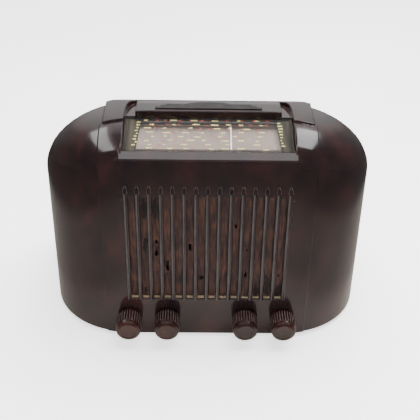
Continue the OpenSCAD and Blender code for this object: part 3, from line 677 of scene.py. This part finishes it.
# ---------------------------------------------------------------- knobs and turned pieces
def revolved(name, profile, place, axis, around=96, flutes=0, sharp=35):
    """Turned piece: profile is (radius, distance along axis, flute depth) from one end to the other."""
    turn = Vector((0, 0, 1)).rotation_difference(Vector(axis)).to_matrix()
    points = []
    for radius, along, depth in profile:
        for step in range(around):
            angle = 2 * math.pi * step / around
            fluted = radius - depth * (1 - abs(math.cos(flutes * angle / 2)) ** 0.7)
            local = Vector((fluted * math.cos(angle), fluted * math.sin(angle), along))
            points.append(Vector(place) + turn @ (local * MM))
    return add_mesh(name, points, tube_faces(0, around, len(profile)), sharp=sharp)


def knob_profile(length):
    """Flat face with a fine groove, sloping rim, plain cap, fluted skirt and plain collar."""
    face = [(0.3, 0.55), (9.2, 0.5), (9.6, 0.35), (9.9, 0.08), (10.3, 0.0), (10.7, 0.15)]
    rim = [(12.0, 0.85), (13.2, 1.55), (13.9, 2.1), (14.3, 2.6), (14.5, 3.2), (14.5, 5.5)]
    skirt = [(14.7, 5.8, 0.0), (15.2, 6.1, 0.15), (15.5, 6.6, 0.8), (15.5, length - 3.3, 0.8),
             (15.2, length - 2.8, 0.2)]
    collar = [(14.8, length - 2.4), (14.6, length - 0.5), (14.2, length - 0.1), (3.2, length)]
    plain_parts = [(radius, along, 0.0) for radius, along in face + rim]
    return plain_parts + skirt + [(radius, along, 0.0) for radius, along in collar]


def make_knob(node):
    """Turned and fluted knob in place of its CAD node."""
    low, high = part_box(node)
    centre = (low + high) / 2
    profile = knob_profile((high.y - low.y) / MM)
    return revolved(node + "_turned", profile, (centre.x, low.y, centre.z), (0, 1, 0), around=KNOB_AROUND,
                    flutes=FLUTES)


def paint_flute_highlights(piece):
    """Paler crests along the flutes of a knob: a painted highlight for the light the flutes catch."""
    piece.data.materials.append(CREST_PAINTED_HIGHLIGHT)
    crests = round(KNOB_AROUND / FLUTES)
    for face in piece.data.polygons:
        ring, step = divmod(face.index, KNOB_AROUND)
        if ring in SKIRT_RINGS and step % crests in (0, 1, crests - 2, crests - 1):
            face.material_index = 1


def make_electrodes(number, x, y, z):
    """Anode can between two mica discs on its support, inside one valve."""
    profile = [(0.3, 2.0, 0), (3.0, 2.0, 0), (3.0, 9.0, 0), (11.0, 9.2, 0), (11.0, 9.8, 0), (7.6, 10.0, 0),
               (7.6, 33.0, 0), (11.0, 33.2, 0), (11.0, 33.8, 0), (2.0, 34.0, 0), (2.0, 41.0, 0),
               (6.0, 41.4, 0), (6.0, 42.0, 0), (0.3, 42.2, 0)]
    name = f"valve_electrodes_{number}"
    return revolved(name, profile, (x * MM, y * MM, z * MM), (0, 0, 1), around=40)


# ---------------------------------------------------------------- dial
def on_dial(x, run, depth):
    """Point in the row frame, from x, distance up the slope and depth below the glass's top face."""
    across, up = math.cos(GLASS_ANGLE), math.sin(GLASS_ANGLE)
    return (x * MM, GLASS_Y0 + (run * across + depth * up) * MM, GLASS_Z0 + (run * up - depth * across) * MM)


def window_half(run):
    """Half width of the clear window in the dial print, in mm, which narrows up the slope."""
    return 79.6 - 0.09 * run


def make_dial_mask():
    """The dark print round the clear window, on the back of the glass."""
    corners = []
    for side in (-1, 1):
        corners += [(side * PRINT_HALF, PRINT_LOW), (side * window_half(WINDOW[0]), WINDOW[0]),
                    (side * window_half(WINDOW[1]), WINDOW[1]), (side * PRINT_HALF, PRINT_HIGH)]
    points = [on_dial(x, run, PRINT_DEPTH) for x, run in corners]
    return add_mesh("dial_mask", points, [(0, 1, 2, 3), (4, 7, 6, 5)])


def make_dial_strip():
    """The black strip above the window."""
    edge = window_half(WINDOW[1])
    corners = [(-edge, WINDOW[1]), (edge, WINDOW[1]), (PRINT_HALF, PRINT_HIGH), (-PRINT_HALF, PRINT_HIGH)]
    return add_mesh("dial_strip", [on_dial(x, run, PRINT_DEPTH) for x, run in corners], [(0, 1, 2, 3)])


def add_word(points, faces, chance, x, run, length, height, depth):
    """A printed mark like a short word: a row of small upright strokes of uneven width."""
    end = x + length
    while x < end:
        width = chance.uniform(0.35, 0.9)
        tall = height * chance.uniform(0.6, 1.0)
        base = len(points)
        corners = [(x, run), (x + width, run), (x + width, run + tall), (x, run + tall)]
        points += [on_dial(px, pr, depth) for px, pr in corners]
        faces.append((base, base + 1, base + 2, base + 3))
        x += width + chance.uniform(0.2, 0.5)


def dial_words(colour):
    """Where marks of one colour stand on the dial, as (x, run, length, height)."""
    chance = random.Random({"yellow": 11, "red": 23}[colour])
    long, gap, tall = {"yellow": ((3, 8), (9, 26), 2.0), "red": ((1.5, 3.5), (6, 16), 1.5)}[colour]
    words = []
    for row in range(DIAL_ROWS):
        run = 4.8 + row * 6.2
        x = -74 + chance.uniform(0, 14)
        while x < 66:
            length = chance.uniform(*long)
            words.append((x, run + chance.uniform(-0.8, 0.8), length, tall))
            x += length + chance.uniform(*gap)
    if colour == "yellow":
        for step in range(9):
            run = 10 + step * 4.4
            for side in (-1, 1):
                length = chance.uniform(1.5, 4.5)
                inner = window_half(run) + chance.uniform(0.4, 1.6)
                words.append((side * inner - (length if side < 0 else 0), run, length, 2.0))
    x = -72
    while x < 70:
        length = chance.uniform(*long)
        words.append((x, WINDOW[1] + chance.uniform(0.5, 1.2), length, 1.7))
        x += length + chance.uniform(*gap)
    return words


def make_dial_marks(colour, depth):
    """All the marks of one colour, as meaningless strokes that stand for station names."""
    chance = random.Random(5)
    points, faces = [], []
    for x, run, length, height in dial_words(colour):
        add_word(points, faces, chance, x, run, length, height, depth)
    return add_mesh("dial_marks_" + colour, points, faces)


def make_dial_lines():
    """Thin red rules across the window, one under each row of marks."""
    points, faces = [], []
    for row in range(DIAL_ROWS + 1):
        run = 3.4 + row * 6.3
        half = window_half(run) - 3
        base = len(points)
        for x, r in ((-half, run), (half, run), (half, run + 0.25), (-half, run + 0.25)):
            points.append(on_dial(x, r, PRINT_DEPTH - 0.02))
        faces.append((base, base + 1, base + 2, base + 3))
    return add_mesh("dial_rules", points, faces)


# ---------------------------------------------------------------- deck plaque
def make_badge_band():
    """Blank pale band across the middle of the plaque, with rounded corners."""
    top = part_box("badge_plate")[1].z
    centre_y = DECK_FRONT + BADGE_BAND[2] * MM
    points = []
    for inset, lift in ((0.0, -0.3), (0.25, -0.05), (0.6, -0.02)):
        for corner, (sx, sy) in enumerate(((1, -1), (1, 1), (-1, 1), (-1, -1))):
            for step in range(5):
                angle = math.radians(-90 + 90 * corner + 22.5 * step)
                x = sx * (BADGE_BAND[0] / 2 - 1.2) + (1.2 - inset) * math.cos(angle)
                y = sy * (BADGE_BAND[1] / 2 - 1.2) + (1.2 - inset) * math.sin(angle)
                points.append((x * MM, centre_y + y * MM, top + lift * MM))
    return add_mesh("badge_band", points, tube_faces(0, 20, 3), sharp=30)


# ---------------------------------------------------------------- pieces, bodies and slots
NODE_SLOT = {entry["node"]: entry["material_slot"] for entry in frame["record"]["subparts"]}
BEVELLED = ("badge_plate", "dial_glass", "chassis", "power_transformer", "output_transformer", "if_cans",
            "back_cover", "gang_frame", "aerial_earth_sockets", "pointer_carriage")


def finish_piece(piece, material, body, replaced=()):
    """Gives a piece its material and body, and hides the CAD nodes it stands for."""
    piece.data.materials.clear()
    piece.data.materials.append(material)
    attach(piece, body)
    if replaced:
        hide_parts(*replaced)


def finish_slot(piece, slot, body, *replaced):
    finish_piece(piece, MATERIALS[slot], body, replaced)


def dress_cad_nodes():
    """Materials for every CAD node, and softened edges for those that the eye can meet."""
    for name, node in frame["nodes"].items():
        node.data.materials.clear()
        node.data.materials.append(MATERIALS[NODE_SLOT[name]])
    for name in BEVELLED:
        node = frame["nodes"][name]
        weld = node.modifiers.new("weld", "WELD")
        weld.merge_threshold = 0.01 * MM
        edge = node.modifiers.new("edge", "BEVEL")
        edge.width = 0.3 * MM
        edge.segments = 2
        edge.limit_method = "ANGLE"
        edge.angle_limit = math.radians(50)


# ---------------------------------------------------------------- camera and light
CAMERA_PLACE = (-0.0100, -0.8701, 0.7009)
CAMERA_PITCH = math.radians(33.26)
CAMERA_YAW = math.radians(0.914)
CAMERA_ROLL = math.radians(1.026)
CAMERA_LENS = 71.89


def add_camera():
    data = bpy.data.cameras.new("camera")
    camera = bpy.data.objects.new("camera", data)
    bpy.context.scene.collection.objects.link(camera)
    data.lens = CAMERA_LENS
    data.sensor_width = 36
    data.clip_start = 0.01
    camera.location = CAMERA_PLACE
    turn = (Matrix.Rotation(-CAMERA_YAW, 4, "Z") @ Matrix.Rotation(math.pi / 2 - CAMERA_PITCH, 4, "X")
            @ Matrix.Rotation(CAMERA_ROLL, 4, "Z"))
    camera.rotation_euler = turn.to_euler()
    bpy.context.scene.camera = camera


def add_area(name, place, target, width, height, power, seen=True):
    """Rectangular softbox. One that isn't seen gives light but no reflection of itself."""
    data = bpy.data.lights.new(name, "AREA")
    data.shape = "RECTANGLE"
    data.size = width
    data.size_y = height
    data.energy = power
    light = bpy.data.objects.new(name, data)
    light.location = place
    aim = Vector(target) - Vector(place)
    light.rotation_euler = aim.to_track_quat("-Z", "Y").to_euler()
    light.visible_glossy = seen
    bpy.context.scene.collection.objects.link(light)


def add_ground(name, half, front, back, height, material):
    """Flat rectangle of the set's surroundings, kept out of the model itself."""
    corners = [(-half, front, height), (half, front, height), (half, back, height), (-half, back, height)]
    ground = add_mesh(name, corners, [(0, 1, 2, 3)])
    ground.data.materials.append(material)
    return ground


def table_material():
    """Table top under the set, its colour a painted pool of light: pale at the middle, fading into the dark
    of the room.
    """
    material, nodes, links, shader = make_material("table_top")
    coordinates = nodes.new("ShaderNodeTexCoord")
    reach = nodes.new("ShaderNodeVectorMath")
    reach.operation = "LENGTH"
    links.new(coordinates.outputs["Object"], reach.inputs[0])
    fade = nodes.new("ShaderNodeMapRange")
    fade.inputs["From Max"].default_value = TABLE_REACH
    links.new(reach.outputs["Value"], fade.inputs["Value"])
    tones = [(share, (tone, 0.9 * tone, 0.8 * tone)) for share, tone in TABLE_LIGHT_POOL_TONES]
    tone = ramp(nodes, links, fade.outputs["Result"], tones)
    links.new(tone, shader.inputs["Base Color"])
    shader.inputs["Roughness"].default_value = 0.8
    return material


def add_floors():
    """A pale floor for the eye, and a table top that only the polished surfaces mirror."""
    paint = plain("floor_paint", (0.88, 0.88, 0.88), 0.6, variation=0.01, scale=20, depth=0.02)
    floor = add_ground("floor", 4.0, -4.0, 4.0, 0.0, paint)
    floor.visible_glossy = False
    glow = paint.node_tree.nodes["Principled BSDF"].inputs
    glow["Emission Color"].default_value = (1, 1, 1, 1)
    glow["Emission Strength"].default_value = FLOOR_GLOW
    table = add_ground("table_top", 1.0, -1.0, 1.0, 0.0002, table_material())
    table.visible_camera = False
    table.visible_diffuse = False
    table.visible_shadow = False


def add_world():
    """Room light: dim all round, with a pale wall high behind that the polished top mirrors."""
    world = bpy.data.worlds.new("world")
    bpy.context.scene.world = world
    world.use_nodes = True
    nodes, links = world.node_tree.nodes, world.node_tree.links
    coordinates = nodes.new("ShaderNodeTexCoord")
    towards = nodes.new("ShaderNodeVectorMath")
    towards.operation = "DOT_PRODUCT"
    towards.inputs[1].default_value = PALE_WALL
    links.new(coordinates.outputs["Generated"], towards.inputs[0])
    tones = [(share, (grey, grey, grey)) for share, grey in ROOM]
    links.new(ramp(nodes, links, towards.outputs["Value"], tones), nodes["Background"].inputs["Color"])
    nodes["Background"].inputs["Strength"].default_value = ROOM_LIGHT


def add_stage():
    add_floors()
    add_world()
    aim = (0, 0, 0.12)
    add_area("sill_light", (0, -0.42, 1.25), (0, -0.1, 0.25), 0.9, 0.3, 1.9)
    add_area("right_light", (0.72, 0.25, 1.25), (0.72, 0.25, 0.3), 0.4, 1.1, 9)
    add_area("left_light", (-0.9, 0.1, 1.25), (-0.9, 0.1, 0.3), 0.4, 1.5, 8)
    add_area("front_light", (0, -1.6, 0.9), (0, -0.1, 0.25), 1.7, 0.45, 1.2)
    add_area("fill", (0.3, 0.3, 1.7), aim, 1.6, 1.6, 100, seen=False)
    add_area("front_fill", (0.0, -1.5, 1.2), aim, 1.4, 1.0, 20, seen=False)


def build_pieces():
    finish_slot(moulded("cabinet_moulding", cabinet_axes(), cabinet_gap), "cabinet_bakelite", "cabinet",
                "cabinet")
    ribs = make_ribs()
    finish_slot(ribs, "cabinet_bakelite", "cabinet")
    # the paler rib edges are a painted highlight
    paint_rib_highlights(ribs)
    finish_slot(make_cloth(), "grille_cloth", "cabinet", "grille_cloth")
    finish_piece(make_sill_dust(), SILL_WORN, "cabinet")
    for node in KNOBS:
        knob = make_knob(node)
        finish_slot(knob, "knob_bakelite", node, node)
        # the paler flute crests are a painted highlight
        paint_flute_highlights(knob)
    prints = ((make_dial_mask(), DIAL_MASK), (make_dial_strip(), DIAL_STRIP), (make_dial_lines(), DIAL_RULE),
              (make_dial_marks("yellow", PRINT_DEPTH - 0.06), DIAL_YELLOW),
              (make_dial_marks("red", PRINT_DEPTH - 0.04), DIAL_RED))
    for piece, material in prints:
        finish_piece(piece, material, "cabinet")
        piece.visible_shadow = False
    finish_piece(make_badge_band(), BADGE_GREY, "cabinet")
    for number, (x, y) in enumerate(VALVE_SPOTS, start=1):
        piece = make_electrodes(number, x, y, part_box("valve_glass")[0].z / MM)
        finish_piece(piece, ANODE_GREY, "cabinet")


add_camera()
add_stage()
dress_cad_nodes()
build_pieces()
